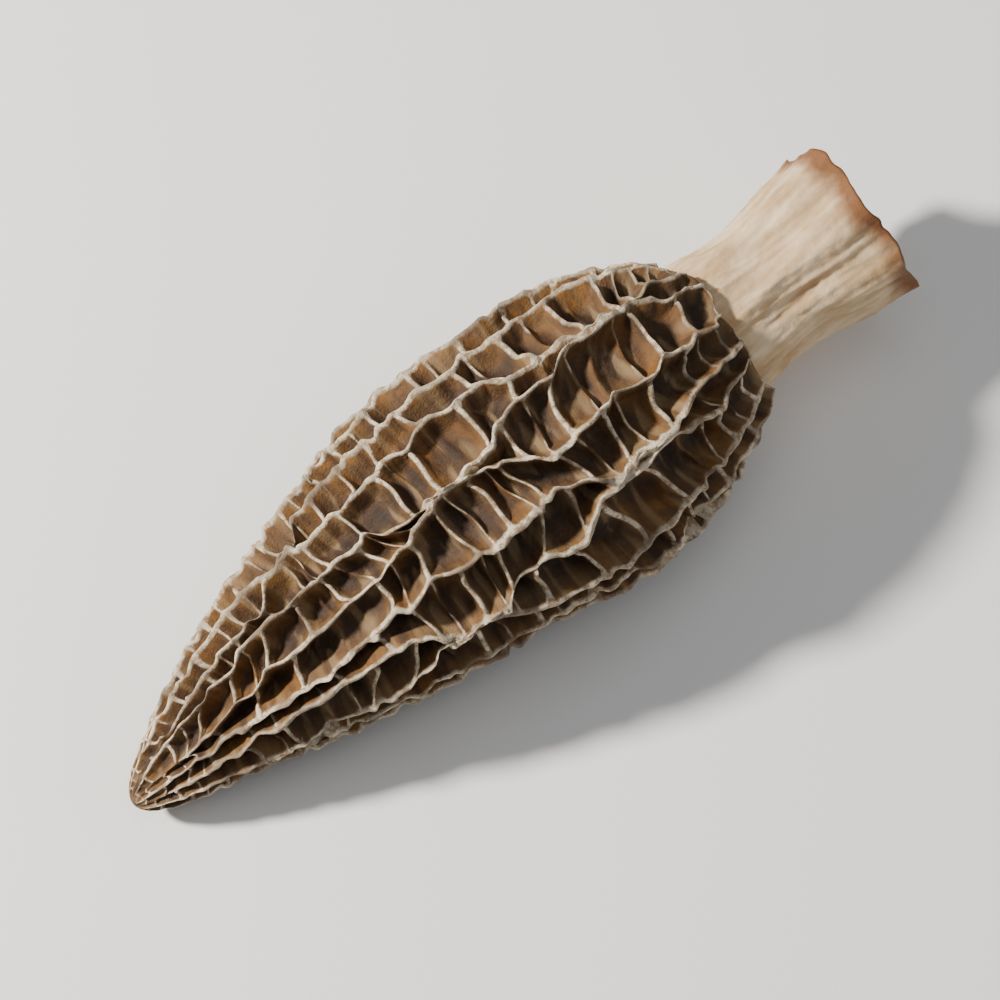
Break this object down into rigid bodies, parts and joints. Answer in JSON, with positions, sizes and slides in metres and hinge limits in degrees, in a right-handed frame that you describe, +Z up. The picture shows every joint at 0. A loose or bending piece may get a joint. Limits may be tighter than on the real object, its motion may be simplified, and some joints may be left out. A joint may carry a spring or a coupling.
{
  "type": "dried morel mushroom",
  "caption": "Dried morel lying on its side: a cone-shaped hollow cap covered in a net of pale ridges around brown pits, on a short hollow cut stem.",
  "frame": {"origin": "on the surface that the mushroom lies on, under the middle of its box", "axes": "+X along the mushroom towards the cut end of the stem, with the cap's tip towards -X; +Z up, away from the surface"},
  "size_m": [0.0658, 0.0226, 0.0193],
  "materials": {
    "cap": "dry and matte, amber-brown pits with pale silver-cream crests",
    "stem": "dry and matte, cream to tan with a toasted brown cut edge"
  },
  "bodies": {
    "root": {"cap": "cap", "stem": "stem"}
  },
  "joints": []
}
